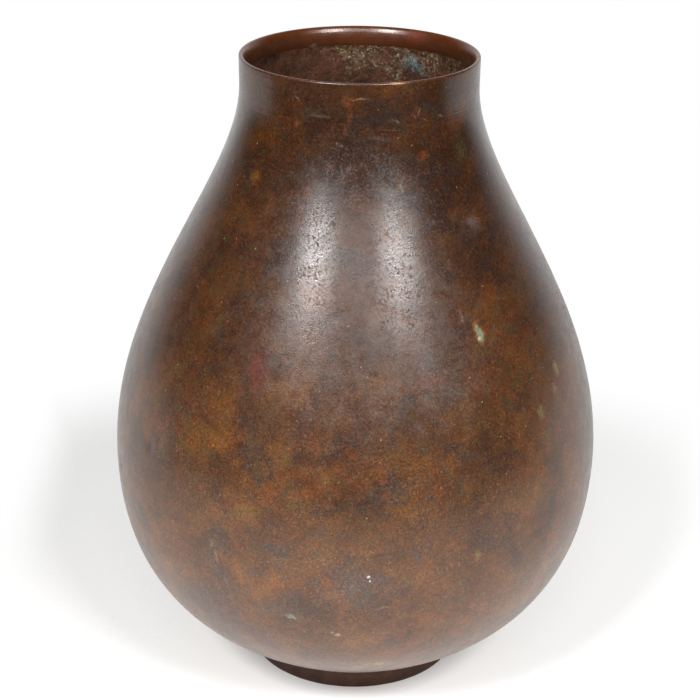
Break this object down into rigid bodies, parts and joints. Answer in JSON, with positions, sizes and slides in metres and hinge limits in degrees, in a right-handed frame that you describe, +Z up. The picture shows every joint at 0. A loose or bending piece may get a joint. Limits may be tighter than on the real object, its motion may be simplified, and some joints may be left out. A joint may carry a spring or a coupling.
{
  "type": "bronze vase",
  "caption": "Round cast bronze flower vase: open straight neck with a thickened inner lip, full belly, and a small turned foot ring under a separate base plate.",
  "frame": {"origin": "middle of the foot's resting face, on the table", "axes": "+Z up along the vase's axis, towards the mouth; +X and +Y are alike, because the form is round"},
  "size_m": [0.1916, 0.1916, 0.25],
  "materials": {
    "patinated_bronze": "mottled orange-brown patina, satin, over cast bronze",
    "dark_foot_bronze": "dark brown patina, satin, worn at the floor edge",
    "base_plate_bronze": "dull brown, rolled sheet",
    "soft_solder": "dull grey, oxidised"
  },
  "bodies": {
    "root": {"vase_body": "patinated_bronze", "foot_ring": "dark_foot_bronze", "base_plate": "base_plate_bronze", "foot_solder": "soft_solder", "plate_solder": "soft_solder"}
  },
  "joints": []
}
